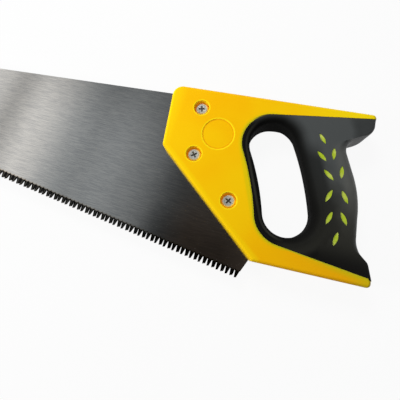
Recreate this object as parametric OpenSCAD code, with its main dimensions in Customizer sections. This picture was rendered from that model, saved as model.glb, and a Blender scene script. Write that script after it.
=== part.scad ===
/* [Blade] */
// Length of the toothed edge
tooth_line = 500; // [400:5:600]
// Thickness of the blade steel
blade_t = 0.9; // [0.7:0.05:1.2]
// Teeth in one inch
teeth_per_inch = 7; // [6:1:10]
// Depth of a tooth from tip to gullet
tooth_depth = 5.2; // [3:0.1:6]
// Sideways set of each tooth tip
tooth_set = 0.35; // [0.1:0.05:0.5]
// Flat at the bottom of each gullet
gullet_land = 0.3; // [0.2:0.05:1]
// Place of the tip's front along its tooth, 0 at the toe side
tip_lean = 0.37; // [0.1:0.01:0.4]
// Length of every second tip, as a share of its tooth
tip_long = 0.42; // [0.3:0.01:0.5]
// Length of the tips between them, as a share of their tooth
tip_short = 0.22; // [0.1:0.01:0.3]
// Slope of the ground tips along the line of the teeth
tip_slope = 38; // [10:1:40]
// Height lost across a tip on the side away from its set
tip_bevel = 0.4; // [0.1:0.1:1]
// Angle between the back and the line of the teeth
back_angle = 11.5; // [9:0.1:12]
// Radius of the upper corner at the toe
toe_round = 8; // [2:0.5:12]
// Step from the last tooth out to the heel edge
heel_land = 0.4; // [0.3:0.1:2]
// Rise of that step above the gullets
heel_rise = 0.9; // [0.5:0.1:2]
// Slope of the heel edge from upright
heel_slope = 14; // [5:1:25]

/* [Handle body] */
// Thickness of the handle
body_t = 24; // [22:0.5:30]
// Rounding of the outer edges of the body
body_round = 2.6; // [1:0.1:3.5]
// Angle between the top edge of the handle and the line of the teeth
handle_angle = 10.9; // [9:0.1:12]
// Height of the front top corner above the tooth tips
handle_lift = 122.1; // [118:0.1:126]
// Distance of that corner from the heel end of the teeth
handle_reach = 102; // [98:0.5:104]
// Length of the top edge
top_len = 156.6; // [154:0.1:164]
// Length of the front edge
front_len = 51; // [48:0.5:54]
// Distance of the bottom corner behind the front edge
bottom_x = 84; // [82:0.5:88]
// Height from the bottom corner to the top edge
handle_h = 124.8; // [122:0.1:128]
// Reach of the lower arm behind the front edge
lower_len = 166; // [162:0.5:170]
// Fall of the lower edge towards its rear end
lower_fall = 1.5; // [0:0.1:3]
// Set back of the lower end of the front edge
front_lean = 1.6; // [0:0.1:3]
// Height of the tip of the upper arm
upper_tip_h = 3.7; // [3:0.1:6]
// Height of the tip of the lower arm
lower_tip_h = 5; // [4:0.1:7]
// Radius of the front top corner
front_round = 8; // [4:0.5:12]
// Radius of the small corners
small_round = 3; // [2.7:0.1:5]
// Depth of the round plain recess
badge_depth = 0.8; // [0.8:0.1:1.5]
// Diameter of the round plain recess
badge_d = 24.4; // [20:0.2:28]
// Chamfer round the mouth of that recess
badge_chamfer = 0.7; // [0.3:0.1:0.7]

/* [Opening] */
// Width of the hand opening
opening_w = 35.8; // [34:0.1:39]
// Distance between the centres of its round ends
opening_len = 53; // [48:0.2:56]
// Slope of the opening from the top edge
opening_angle = 69.9; // [68:0.1:73]
// Upper end centre, behind the front edge
opening_x = 85.6; // [84:0.1:88]
// Upper end centre, below the top edge
opening_y = 35.5; // [34:0.1:38]
// Bow of the opening towards the rear
opening_bow = 1.6; // [0.5:0.1:3]

/* [Grip] */
// Width of the soft rim round the front of the opening
rim_w = 5.2; // [4.2:0.1:6]
// How far the soft rim is set forward of the opening at its upper end
rim_forward = 2; // [1:0.1:4]
// How far the soft rim is set forward of the opening at its lower end
rim_forward_low = 1; // [0:0.1:3]
// How far the soft rim is set below the opening at its lower end
rim_drop = 1.8; // [0:0.1:2.5]
// Growth of the soft rim's width towards its lower end
rim_growth = 1; // [0:0.1:3]
// Thickness of the soft sleeve
sleeve_t = 2.5; // [1.5:0.1:3]
// Rounding of the soft rim into the opening
mouth_round = 6; // [4:0.5:8]
// Rounding of the grip into the opening
finger_round = 9; // [6:0.5:9.5]
// Rounding of the back of the grip
palm_round = 10; // [6:0.5:11]
// Rounding of the grip under its horn
horn_round = 9.5; // [5:0.5:11]
// Rounding of the grip at its lower waist
waist_round = 8; // [5:0.5:10]
// Rounding of the grip at the ends of its back
tip_round = 3; // [3:0.5:5]
// Hairline rounding of the sleeve against the body
seam_round = 0.8; // [0.3:0.1:1]
// Thickness of the core's lip that shows along the seam
lip_t = 0.9; // [0.5:0.1:1.5]
// Depth of the lip and the leaves below the surface
sunk = 0.4; // [0.2:0.1:0.8]
// Length of the leaf windows
leaf_len = 10.8; // [8:0.2:11.4]
// Width of the leaf windows
leaf_w = 3.2; // [2.5:0.1:4.5]

/* [Fasteners] */
// Diameter of the counterbores
counterbore_d = 12; // [11:0.1:13]
// Chamfer round the mouth of the counterbores
mouth_chamfer = 0.4; // [0.2:0.1:0.6]
// Depth of the counterbores
counterbore_depth = 4.6; // [3.5:0.1:5.5]
// Diameter of the screw and nut heads
head_d = 10.4; // [8:0.1:10.8]
// Height of the screw and nut heads
head_h = 2.4; // [1.8:0.1:3]
// Diameter of the screw shank
shank_d = 4; // [3.5:0.1:4.5]
// Diameter of the sleeve nut's barrel
barrel_d = 6; // [5.6:0.1:7]
// Length of the sleeve nut's barrel
barrel_len = 9; // [7:0.5:11]
// Clearance round a barrel, a shank and the blade
clearance = 0.1; // [0.05:0.05:0.2]

/* [Hidden] */
$fn = 64;

// Small values that the forms below share
inch = 25.4;
arc_steps = 6;
station_gap = 5;
cut = 1;
least_r = 0.2;
half_t = body_t / 2;
half_blade = blade_t / 2;

function unit(v) = v / norm(v);
function turned(v) = [-v.y, v.x];
function flat(p) = [p.x, p.y];
function at_angle(a, r = 1) = r * [cos(a), sin(a)];
function angle_of(v) = atan2(v.y, v.x);
function blend(a, b, t) = a + (b - a) * t;
function reverse(list) = [for (i = [len(list) - 1:-1:0]) list[i]];
function clamp(x, low, high) = min(max(x, low), high);

// Point where two lines cross, each given by a point and a direction
function crossing(p, u, q, v) = p + u * cross(q - p, v) / cross(u, v);

// Arc that rounds the corner at b between a and c
function corner_arc(a, b, c, r) =
    let (u = unit(a - b), v = unit(c - b),
         half = acos(clamp(u * v, -1, 1)) / 2,
         centre = b + unit(u + v) * r / sin(half),
         from = angle_of(b + u * r / tan(half) - centre),
         sweep = (180 - 2 * half) * (cross(u, v) > 0 ? -1 : 1))
    [for (i = [0:arc_steps]) centre + at_angle(from + sweep * i / arc_steps, r)];

// Outline of rounded corners, each x, y and radius, moved inwards by d
function inset_corner(corners, i, d) =
    let (n = len(corners),
         before = corners[(i + n - 1) % n], here = corners[i], after = corners[(i + 1) % n],
         u = unit(flat(here - before)), v = unit(flat(after - here)))
    crossing(flat(here) + turned(u) * d, u, flat(here) + turned(v) * d, v);
function outline(corners, d) =
    let (n = len(corners), moved = [for (i = [0:n - 1]) inset_corner(corners, i, d)])
    [for (i = [0:n - 1])
        each corner_arc(moved[(i + n - 1) % n], moved[i], moved[(i + 1) % n], corners[i][2] - d)];

// The handle has its own frame: zero at its front top corner, x along the top edge, y upwards
handle_at = [-handle_reach, handle_lift];
function from_handle(p) =
    handle_at + p.x * at_angle(handle_angle) + p.y * turned(at_angle(handle_angle));

// Spine of the opening, an arc bowed towards the rear
opening_r = opening_w / 2;
spine_top = [opening_x, -opening_y];
spine_dir = at_angle(-opening_angle);
spine_side = turned(spine_dir);
spine_bend = (opening_len * opening_len / 4 + opening_bow * opening_bow) / (2 * opening_bow);
spine_centre = spine_top + spine_dir * opening_len / 2 + spine_side * (opening_bow - spine_bend);
spine_half = asin(opening_len / 2 / spine_bend);
function spine_at(a) = spine_centre + spine_bend * spine_out(a);
function spine_out(a) = spine_side * cos(a) + spine_dir * sin(a);
function spine_nearest(p) =
    let (v = p - spine_centre)
    spine_at(clamp(atan2(v * spine_dir, v * spine_side), -spine_half, spine_half));
function opening_point(p) =
    let (s = spine_nearest(p))
    s + opening_r * unit(p - s);

// Seam between body and sleeve, from the upper arm's end round the opening to the lower arm's end
seam_r = opening_r + rim_w;
seam_r_low = seam_r + rim_growth;
seam_shift = [-rim_forward, 0];
seam_shift_low = [-rim_forward_low, -rim_drop];
seam_top = spine_at(-spine_half) + seam_shift;
seam_bottom = spine_at(spine_half) + seam_shift_low;
upper_end = [top_len, -upper_tip_h];
lower_end = [lower_len, -handle_h - lower_fall + lower_tip_h];
upper_touch = angle_of(upper_end - seam_top) + acos(seam_r / norm(upper_end - seam_top));
lower_touch = angle_of(lower_end - seam_bottom) - acos(seam_r_low / norm(lower_end - seam_bottom));
seam_top_left = angle_of(-spine_out(-spine_half));
seam_bottom_left = angle_of(-spine_out(spine_half));
seam_turn_top = (seam_top_left - upper_touch + 360) % 360;
seam_turn_bottom = (lower_touch - seam_bottom_left + 720) % 360;
seam_steps = 2 * arc_steps;
side_steps = 4;
function seam(d) = concat(
    [for (i = [0:seam_steps])
        seam_top + at_angle(upper_touch + seam_turn_top * i / seam_steps, seam_r - d)],
    [for (i = [1:side_steps - 1])
        let (t = i / side_steps,
             a = spine_half * (2 * t - 1),
             r = blend(seam_r, seam_r_low, t) - d)
        spine_at(a) + blend(seam_shift, seam_shift_low, t) - spine_out(a) * r],
    [for (i = [0:seam_steps])
        seam_bottom + at_angle(seam_bottom_left + seam_turn_bottom * i / seam_steps, seam_r_low - d)]);

seam_line = seam(0);
seam_first = seam_line[0];
seam_last = seam_line[len(seam_line) - 1];

// Corners of the body before the grip is cut out of it: x, y, radius
body_corners = [
    [top_len, 0, small_round],
    [0, 0, front_round],
    [front_lean, -front_len, small_round],
    [bottom_x, -handle_h, small_round],
    [lower_len, -handle_h - lower_fall, small_round]];
function body_ring(d) = outline(body_corners, d);

// Room for the grip in the body, open to the rear
room_past = 2;
grip_room = concat(
    [upper_end + room_past * unit(upper_end - seam_first)],
    seam_line,
    [lower_end + room_past * unit(lower_end - seam_last)]);

// Back of the grip from the lower end up to the horn: corner, radius, and rounding of the sleeve there
rear_corners = [
    [lower_end + [-3.2, 10.6], 7, tip_round],
    [lower_end + [-11.4, 21.4], 20, waist_round],
    [[lower_len - 11.7, -handle_h / 2], 85, palm_round],
    [upper_end + [-19, -20.4], 9, horn_round],
    [upper_end + [1.2, -10.3], 5, tip_round]];
function rear_arc(i) =
    let (n = len(rear_corners),
         before = i == 0 ? lower_end : rear_corners[i - 1][0],
         after = i == n - 1 ? upper_end : rear_corners[i + 1][0])
    [for (p = corner_arc(before, rear_corners[i][0], after, rear_corners[i][1]))
        [p.x, p.y, rear_corners[i][2], sleeve_t, finger_round]];
rear_line = [for (i = [0:len(rear_corners) - 1]) each rear_arc(i)];

// Stations round the sleeve: x, y, outer rounding, cover over the core, and rounding into the opening
seam_cover = -cut / 2;
end_run = 12;
lip_stop = 3;
upper_run = blend(upper_end, seam_first, end_run / norm(seam_first - upper_end));
lower_run = blend(lower_end, seam_last, end_run / norm(seam_last - lower_end));
lip_first = seam_first + lip_stop * unit(upper_end - seam_first);
lip_end = blend(lower_end, seam_last, lip_stop / norm(seam_last - lower_end));
station_corners = concat(
    [[upper_end.x, upper_end.y, body_round, sleeve_t, finger_round],
     [upper_run.x, upper_run.y, seam_round, seam_cover, finger_round]],
    [for (p = seam_line) [p.x, p.y, seam_round, seam_cover, mouth_round]],
    [[lower_run.x, lower_run.y, seam_round, seam_cover, finger_round],
     [lower_end.x, lower_end.y, body_round, sleeve_t, finger_round]],
    rear_line);
stations = [for (i = [0:len(station_corners) - 1])
    let (a = station_corners[i],
         b = station_corners[(i + 1) % len(station_corners)],
         n = max(1, round(norm(flat(b - a)) / station_gap)))
    for (k = [0:n - 1]) blend(a, b, k / n)];

// The core's stations stand halfway between those of the sleeve
core_stations = [for (i = [0:len(stations) - 1])
    blend(stations[i], stations[(i + 1) % len(stations)], 0.5)];

// Rounded section between the outer edge and the opening at one station
section_steps = 3;
function quarter(u, z, r, from) =
    [for (i = [0:section_steps]) [u, z] + at_angle(from + 90 * i / section_steps, r)];
function section(s, outer, inner, h, r_outer, r_inner) =
    let (q = flat(s), p = opening_point(q), e = unit(p - q), w = norm(p - q) - inner,
         ri = clamp(r_inner, least_r, w - outer - r_outer - least_r))
    [for (c = concat(
            quarter(outer + r_outer, -h + r_outer, r_outer, 180),
            quarter(w - ri, -h + ri, ri, 270),
            quarter(w - ri, h - ri, ri, 0),
            quarter(outer + r_outer, h - r_outer, r_outer, 90)))
        let (at = q + e * c.x)
        [at.x, at.y, c.y]];

// Closed solid through a loop of equal sections
module loop_loft(sections) {
    n = len(sections);
    m = len(sections[0]);
    polyhedron(
        points = [for (s = sections) each s],
        faces = [for (i = [0:n - 1]) for (j = [0:m - 1])
            let (i2 = (i + 1) % n, j2 = (j + 1) % m)
            each [[i * m + j, i2 * m + j2, i * m + j2], [i * m + j, i2 * m + j, i2 * m + j2]]]);
}

// Closed solid through a stack of equal rings, lowest first
module ring_stack(rings) {
    n = len(rings);
    m = len(rings[0]);
    polyhedron(
        points = [for (r = rings) each r],
        faces = concat(
            [[for (j = [0:m - 1]) j]],
            [[for (j = [m - 1:-1:0]) (n - 1) * m + j]],
            [for (i = [0:n - 2]) for (j = [0:m - 1])
                let (j2 = (j + 1) % m)
                each [[i * m + j, (i + 1) * m + j, (i + 1) * m + j2],
                      [i * m + j, (i + 1) * m + j2, i * m + j2]]]));
}

// Centres of the screws and of the round recess, in the handle's frame
screw_places = [[25.9, -16.4], [27.6, -54.4], [60.2, -84.9]];
badge_place = [42.7, -35.5];

// Blade outline: the toothed edge, the heel, the tang inside the handle, the back and the toe
pitch = inch / teeth_per_inch;
tooth_count = floor(tooth_line / pitch);
toe_x = -tooth_line;
first_tooth_x = -tooth_count * pitch;
back_drop = 2.4;
back_dir = at_angle(back_angle);
back_at = from_handle([0, -back_drop]);
toe_top = crossing(back_at, back_dir, [toe_x, 0], [0, 1]);
step_in = 3.6;
tang_top = 10;
tang_margin = 13;
tang_sink = 7;
step_top = crossing(back_at, back_dir, from_handle([step_in, 0]), turned(at_angle(handle_angle)));
tang_points = [
    screw_places[2] + [tang_margin, -tang_margin],
    [screw_places[0].x + 1.4 * tang_margin, -tang_top],
    [step_in, -tang_top]];
heel_dir = turned(at_angle(-heel_slope));
heel_low = [heel_land, tooth_depth + heel_rise];
heel_top = crossing(heel_low, heel_dir, from_handle([0, tang_sink - handle_h]), at_angle(handle_angle));
strip_h = 1.6 * tooth_depth;
heel_strip = crossing(heel_low, heel_dir, [0, strip_h], [1, 0]);
group_teeth = 8;
plate_edge = concat(
    [heel_strip, heel_top],
    [for (p = tang_points) from_handle(p)],
    [step_top],
    corner_arc(step_top, toe_top, [toe_x, tooth_depth], toe_round),
    [[toe_x, strip_h]]);
function tooth_left(k) = first_tooth_x + k * pitch + gullet_land / 2;
function tooth_right(k) = first_tooth_x + (k + 1) * pitch - gullet_land / 2;
tooth_roots = [for (k = [0:tooth_count - 1])
    each [[tooth_left(k), tooth_depth], [tooth_right(k), tooth_depth]]];
// Four corners of a tooth tip: front and rear on the upper side, then on the lower side
function tip_end(k, up) =
    let (even = k % 2 == 0,
         z = (even ? tooth_set : -tooth_set) + (up ? half_blade : -half_blade),
         front = blend(tooth_left(k), tooth_right(k), tip_lean),
         length = (tooth_right(k) - tooth_left(k)) * (even ? tip_short : tip_long),
         low = up == even ? 0 : tip_bevel)
    [[front, low, z], [front + length, low + length * tan(tip_slope), z]];

// The whole saw stands with its box's bottom centre on zero
body_edge = [for (p = body_ring(0)) from_handle(p)];
grip_edge = [for (s = stations) from_handle(s)];
edges = concat(plate_edge, body_edge, grip_edge);
box_x = [min([for (p = edges) p.x]), max([for (p = edges) p.x])];
box_y = [0, max([for (p = edges) p.y])];
middle = [(box_x[0] + box_x[1]) / 2, (box_y[0] + box_y[1]) / 2];

module seat() {
    translate([-middle.x, -middle.y, half_t]) children();
}
module at_handle() {
    seat() translate([handle_at.x, handle_at.y, 0]) rotate(handle_angle) children();
}

// Floor of the counterbores, where the heads sit
floor_z = half_t - counterbore_depth;
module at_screw(i) {
    translate([screw_places[i].x, screw_places[i].y, 0]) children();
}

// Leaf windows: share of the grip's height, share of its width, direction and share of the full length
leaves = [
    [0.187, 0.47, 126, 0.85], [0.302, 0.40, 138, 0.92], [0.274, 0.65, 94, 0.88],
    [0.415, 0.44, 138, 1], [0.385, 0.70, 93, 0.92], [0.544, 0.37, 70, 1],
    [0.536, 0.67, 121, 1], [0.679, 0.33, 72, 1], [0.668, 0.63, 120, 1], [0.797, 0.51, 79, 1]];
front_line = [for (a = [-spine_half, spine_half]) spine_at(a) + opening_r * spine_out(a)];
function x_at(line, y) = lookup(y, [for (p = line) [p.y, p.x]]);
function leaf_place(l) =
    let (y = blend(upper_end.y, lower_end.y, l[0]))
    [blend(x_at(front_line, y), x_at(rear_line, y), l[1]), y];
module leaf(length, width) {
    r = (length * length + width * width) / (4 * width);
    intersection() {
        translate([0, r - width / 2]) circle(r);
        translate([0, width / 2 - r]) circle(r);
    }
}
module leaf_pads(h) {
    for (l = leaves)
        translate([leaf_place(l).x, leaf_place(l).y, -h]) rotate(l[2]) linear_extrude(2 * h)
            leaf(leaf_len * l[3], leaf_w * sqrt(l[3]));
}

// Strip of the core that shows between the body and the sleeve
module seam_lip(h, past) {
    first_out = unit(seam_first - seam_top);
    last_out = unit(seam_last - seam_bottom);
    strip = concat(
        [lip_first + first_out * past], seam(-past), [lip_end + last_out * past],
        [lip_end - last_out * lip_t], reverse(seam(lip_t)), [lip_first - first_out * lip_t]);
    translate([0, 0, -h]) linear_extrude(2 * h) polygon(strip);
}
module core_form() {
    loop_loft([for (s = core_stations)
        section(s, s[3], sleeve_t, half_t - sleeve_t, max(s[2] - sleeve_t, least_r), s[4] - sleeve_t)]);
}

// Blade as one solid: the toothed strip is split into groups of teeth, so that no face is a long splinter
module blade() {
    edge = concat([[toe_x, tooth_depth]], tooth_roots, [heel_low], plate_edge);
    groups = ceil(tooth_count / group_teeth);
    ridge = [for (g = [1:groups - 1]) [tooth_left(g * group_teeth), strip_h]];
    flat_points = concat(edge, ridge);
    n = len(edge);
    m = len(flat_points);
    roots = 2 * tooth_count;
    plate_from = roots + 2;
    back_end = plate_from + 3 + len(tang_points);
    notch = back_end - 2;
    chain = [for (g = [0:groups]) g == 0 ? 0 : g == groups ? roots + 1 : 1 + 2 * group_teeth * g];
    upper = [for (g = [0:groups]) g == 0 ? n - 1 : g == groups ? plate_from : n + g - 1];
    side = concat(
        [[back_end, back_end - 1, notch, plate_from],
         concat([plate_from], [for (i = [notch:-1:plate_from + 1]) i]),
         [for (i = [n - 1:-1:back_end]) i]],
        [for (g = [0:groups - 1]) each [
            [upper[g], back_end, upper[g + 1]],
            [upper[g], upper[g + 1], chain[g]],
            for (i = [chain[g]:chain[g + 1] - 1]) [i, upper[g + 1], i + 1]]]);
    color("silver") seat() difference() {
        polyhedron(
            points = concat(
                [for (p = flat_points) [p.x, p.y, half_blade]],
                [for (p = flat_points) [p.x, p.y, -half_blade]],
                [for (k = [0:tooth_count - 1]) each concat(tip_end(k, true), tip_end(k, false))]),
            faces = concat(
                side,
                [for (f = side) [for (i = [0:len(f) - 1]) m + f[(len(f) - i) % len(f)]]],
                [for (i = [0:n - 1]) if (i > roots || i % 2 == 0)
                    let (j = (i + 1) % n) [i, j, m + j, m + i]],
                [for (k = [0:tooth_count - 1])
                    let (l = 2 * k + 1, r = l + 1, t = 2 * m + 4 * k)
                    each [[l, r, t + 1], [l, t + 1, t],
                          [m + r, m + l, t + 2], [m + r, t + 2, t + 3],
                          [l, t, t + 2], [l, t + 2, m + l],
                          [r, m + r, t + 3], [r, t + 3, t + 1],
                          [t, t + 1, t + 3], [t, t + 3, t + 2]]]));
        translate([handle_at.x, handle_at.y, 0]) rotate(handle_angle) for (i = [0:2])
            at_screw(i) cylinder(h = 2 * cut + blade_t, d = barrel_d + 2 * clearance, center = true);
    }
}

module handle_body() {
    round_steps = 3;
    levels = [for (i = [0:round_steps])
        let (a = 90 * i / round_steps)
        [half_t - body_round + body_round * sin(a), body_round * (1 - cos(a))]];
    rings = concat(
        [for (l = reverse(levels)) [for (p = body_ring(l[1])) [p.x, p.y, -l[0]]]],
        [for (l = levels) [for (p = body_ring(l[1])) [p.x, p.y, l[0]]]]);
    color("gold") difference() {
        at_handle() ring_stack(rings);
        at_handle() translate([0, 0, -half_t - cut]) linear_extrude(body_t + 2 * cut) polygon(grip_room);
        seat() blade_slot();
        at_handle() for (i = [0:2]) at_screw(i) {
            cylinder(h = body_t + 2 * cut, d = barrel_d + 2 * clearance, center = true);
            for (side = [0, 180]) rotate([side, 0, 0])
                sunk_round(counterbore_d, counterbore_depth, mouth_chamfer);
        }
        at_handle() translate([badge_place.x, badge_place.y, 0]) for (side = [0, 180])
            rotate([side, 0, 0]) sunk_round(badge_d, badge_depth, badge_chamfer);
    }
}

// Cutter of a round recess in the side of the body, with a chamfered mouth
module sunk_round(d, depth, chamfer) {
    spread = chamfer + cut;
    rotate_extrude() translate([0, half_t]) polygon([
        [0, -depth], [d / 2, -depth], [d / 2, -chamfer], [d / 2 + spread, cut], [0, cut]]);
}

// Room for the blade inside the handle, open along the front of the body
module blade_slot() {
    slot = blade_t + 2 * clearance;
    c = clearance;
    front = from_handle([-2 * front_round, -tang_top]);
    room = concat(
        [heel_low + [c, 0], heel_top + [c, 0]],
        [for (p = tang_points) from_handle(p + [c, c])],
        [step_top + [c, c], step_top + [c, c] - 3 * front_round * back_dir],
        [front - [0, front_len]]);
    translate([0, 0, -slot / 2]) linear_extrude(slot) polygon(room);
}

module grip_core() {
    color("yellowgreen") at_handle() intersection() {
        union() {
            core_form();
            leaf_pads(half_t - sunk);
            seam_lip(half_t - sunk, cut);
        }
        translate([0, 0, -half_t]) linear_extrude(body_t) polygon(grip_room);
    }
}

module grip_sleeve() {
    color("dimgray") at_handle() difference() {
        loop_loft([for (s = stations) section(s, 0, 0, half_t, s[2], s[4])]);
        core_form();
        leaf_pads(half_t + cut);
        seam_lip(half_t + cut, cut);
    }
}

// Domed head with its seat at zero
module head() {
    crown = head_h / 3;
    rotate_extrude() polygon(concat(
        [[0, 0], [head_d / 2, 0], [head_d / 2, head_h - 2 * crown]],
        [for (i = [1:arc_steps])
            let (a = 90 * i / arc_steps)
            [head_d / 2 * cos(a), head_h - 2 * crown + 2 * crown * sin(a)]]));
}

// Pan head screw with a cross recess
module screw(i) {
    recess_l = head_d * 0.5;
    recess_w = head_d * 0.13;
    recess_deep = head_h * 0.6;
    recess_turn = 20;
    color("lightgray") at_handle() at_screw(i) translate([0, 0, floor_z]) {
        difference() {
            head();
            for (a = [0, 90]) rotate(recess_turn + a)
                translate([-recess_l / 2, -recess_w / 2, head_h - recess_deep])
                    cube([recess_l, recess_w, head_h]);
        }
        translate([0, 0, -barrel_len]) cylinder(h = barrel_len, d = shank_d);
    }
}

// Sleeve nut with a slotted domed head on the far side
module nut(i) {
    slot_w = head_d * 0.14;
    slot_deep = head_h * 0.5;
    color("lightgray") at_handle() at_screw(i) rotate([180, 0, 0]) translate([0, 0, floor_z])
        difference() {
            union() {
                head();
                translate([0, 0, -barrel_len]) cylinder(h = barrel_len, d = barrel_d);
            }
            translate([0, 0, -barrel_len - cut])
                cylinder(h = barrel_len + cut, d = shank_d + 2 * clearance);
            translate([-head_d, -slot_w / 2, head_h - slot_deep]) cube([2 * head_d, slot_w, head_h]);
        }
}
module screw_upper() { screw(0); }
module screw_middle() { screw(1); }
module screw_lower() { screw(2); }
module nut_upper() { nut(0); }
module nut_middle() { nut(1); }
module nut_lower() { nut(2); }

blade();
handle_body();
grip_core();
grip_sleeve();
screw_upper();
screw_middle();
screw_lower();
nut_upper();
nut_middle();
nut_lower();
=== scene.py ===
import math

import bmesh
import bpy
from mathutils import Euler, Matrix, Vector


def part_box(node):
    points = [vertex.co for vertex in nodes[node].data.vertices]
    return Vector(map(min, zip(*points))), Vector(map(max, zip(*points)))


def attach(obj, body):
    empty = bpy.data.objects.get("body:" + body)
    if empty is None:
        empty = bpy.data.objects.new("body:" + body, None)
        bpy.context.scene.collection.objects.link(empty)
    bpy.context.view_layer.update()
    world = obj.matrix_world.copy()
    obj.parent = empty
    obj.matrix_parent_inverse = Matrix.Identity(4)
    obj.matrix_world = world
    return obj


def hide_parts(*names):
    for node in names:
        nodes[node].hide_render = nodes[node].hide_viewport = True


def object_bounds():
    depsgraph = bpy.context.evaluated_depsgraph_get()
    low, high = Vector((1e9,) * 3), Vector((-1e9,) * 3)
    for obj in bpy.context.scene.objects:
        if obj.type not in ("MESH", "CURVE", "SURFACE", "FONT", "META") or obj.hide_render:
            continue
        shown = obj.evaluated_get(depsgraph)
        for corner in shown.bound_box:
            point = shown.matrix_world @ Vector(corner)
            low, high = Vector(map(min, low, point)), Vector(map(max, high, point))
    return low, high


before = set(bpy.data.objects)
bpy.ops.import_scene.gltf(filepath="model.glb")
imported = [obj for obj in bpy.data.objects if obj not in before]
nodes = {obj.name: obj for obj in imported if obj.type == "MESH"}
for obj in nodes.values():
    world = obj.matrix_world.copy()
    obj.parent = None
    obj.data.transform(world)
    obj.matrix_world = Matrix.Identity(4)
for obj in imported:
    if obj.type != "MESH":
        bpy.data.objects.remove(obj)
cadLow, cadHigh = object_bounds()
scene = bpy.context.scene
scene.view_settings.view_transform = "Standard"
mm = 0.001
print("frame loaded:", len(nodes), "nodes")


# Small helpers for node trees
def linear(red, green, blue):
    channel = lambda c: c / 12.92 if c <= 0.04045 else ((c + 0.055) / 1.055) ** 2.4
    return tuple(channel(c / 255) for c in (red, green, blue)) + (1.0,)


black, white = (0, 0, 0, 1), (1, 1, 1, 1)


def feed(tree, value, socket):
    if isinstance(value, bpy.types.NodeSocket):
        tree.links.new(value, socket)
    else:
        socket.default_value = value


def feedAll(tree, values, node):
    for value, socket in zip(values, node.inputs):
        feed(tree, value, socket)


def addNode(tree, kind, settings=None, **inputs):
    node = tree.nodes.new(kind)
    for key, value in (settings or {}).items():
        setattr(node, key, value)
    for key, value in inputs.items():
        feed(tree, value, node.inputs[key.replace("_", " ")])
    return node


def startMaterial(name):
    material = bpy.data.materials.new(name)
    material.use_nodes = True
    tree = material.node_tree
    shader = tree.nodes["Principled BSDF"]
    place = addNode(tree, "ShaderNodeTexCoord").outputs["Object"]
    return material, tree, shader, place


def noise(tree, vector, scale, detail, roughness):
    return addNode(tree, "ShaderNodeTexNoise", Vector=vector, Scale=scale, Detail=detail,
                   Roughness=roughness).outputs["Fac"]


def ranged(tree, value, low, high, toLow=0.0, toHigh=1.0, smooth=True):
    kind = "SMOOTHSTEP" if smooth else "LINEAR"
    return addNode(tree, "ShaderNodeMapRange", {"interpolation_type": kind}, Value=value, From_Min=low,
                   From_Max=high, To_Min=toLow, To_Max=toHigh).outputs["Result"]


def mixed(tree, share, first, second, blend="MIX"):
    node = addNode(tree, "ShaderNodeMix", {"data_type": "RGBA", "blend_type": blend})
    feed(tree, share, node.inputs["Factor"])
    feed(tree, first, node.inputs[6])
    feed(tree, second, node.inputs[7])
    return node.outputs[2]


def worked(tree, kind, *values):
    node = addNode(tree, "ShaderNodeMath", {"operation": kind})
    feedAll(tree, values, node)
    return node.outputs[0]


def product(tree, first, *others):
    for other in others:
        first = worked(tree, "MULTIPLY", first, other)
    return first


def largest(tree, first, *others):
    for other in others:
        first = worked(tree, "MAXIMUM", first, other)
    return first


def vectored(tree, kind, *values):
    node = addNode(tree, "ShaderNodeVectorMath", {"operation": kind})
    feedAll(tree, values, node)
    return node.outputs["Value" if kind in ("DOT_PRODUCT", "DISTANCE") else "Vector"]


def separated(tree, vector):
    return addNode(tree, "ShaderNodeSeparateXYZ", Vector=vector).outputs


def bumped(tree, shader, height, strength, distance):
    node = addNode(tree, "ShaderNodeBump", Strength=strength, Distance=distance, Height=height)
    tree.links.new(node.outputs["Normal"], shader.inputs["Normal"])


def surfaced(tree, shader):
    tree.links.new(shader.outputs[0], tree.nodes["Material Output"].inputs["Surface"])


def startGroup(name, inputs, outputs):
    group = bpy.data.node_groups.new(name, "ShaderNodeTree")
    for label, kind in inputs:
        group.interface.new_socket(label, in_out="INPUT", socket_type=kind)
    for label, kind in outputs:
        group.interface.new_socket(label, in_out="OUTPUT", socket_type=kind)
    return group, group.nodes.new("NodeGroupInput"), group.nodes.new("NodeGroupOutput")


# Shared effects: mottling and grain of moulded pieces, and the brushing of steel
skinNoise = {  # size and detail
    "Patches": ("Patch Size", 2.0), "Grain": ("Grain Size", 4.0), "roughness": 0.55,
}
brushNoise = {  # scale along, across and through the plate, and detail
    "Lines": ((125, 2400, 125), 3.0), "Hairs": ((160, 4200, 160), 4.0), "roughness": 0.6,
}
grainRange = (0.3, 0.7)


def makeMouldedSkin():
    group, given, put = startGroup(
        "mouldedSkin",
        [("Vector", "NodeSocketVector"), ("Patch Size", "NodeSocketFloat"),
         ("Grain Size", "NodeSocketFloat")],
        [("Patches", "NodeSocketFloat"), ("Grain", "NodeSocketFloat")])
    for name in ("Patches", "Grain"):
        size, detail = skinNoise[name]
        scale = worked(group, "DIVIDE", 1.0, given.outputs[size])
        texture = noise(group, given.outputs["Vector"], scale, detail, skinNoise["roughness"])
        group.links.new(texture, put.inputs[name])
    return group


def makeBrushing():
    group, given, put = startGroup(
        "brushing",
        [("Vector", "NodeSocketVector")],
        [("Lines", "NodeSocketFloat"), ("Hairs", "NodeSocketFloat")])
    for name in ("Lines", "Hairs"):
        scale, detail = brushNoise[name]
        stretched = addNode(group, "ShaderNodeMapping", Vector=given.outputs["Vector"], Scale=scale)
        texture = noise(group, stretched.outputs["Vector"], 1.0, detail, brushNoise["roughness"])
        group.links.new(texture, put.inputs[name])
    return group


mouldedSkin = makeMouldedSkin()
brushing = makeBrushing()


def placeSkin(tree, place, look):
    return addNode(tree, "ShaderNodeGroup", {"node_tree": mouldedSkin}, Vector=place,
                   Patch_Size=look["patch"], Grain_Size=look["grain"]).outputs


def skinRoughness(tree, skin, look):
    return ranged(tree, skin["Grain"], *grainRange, *look["roughness"])


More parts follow.
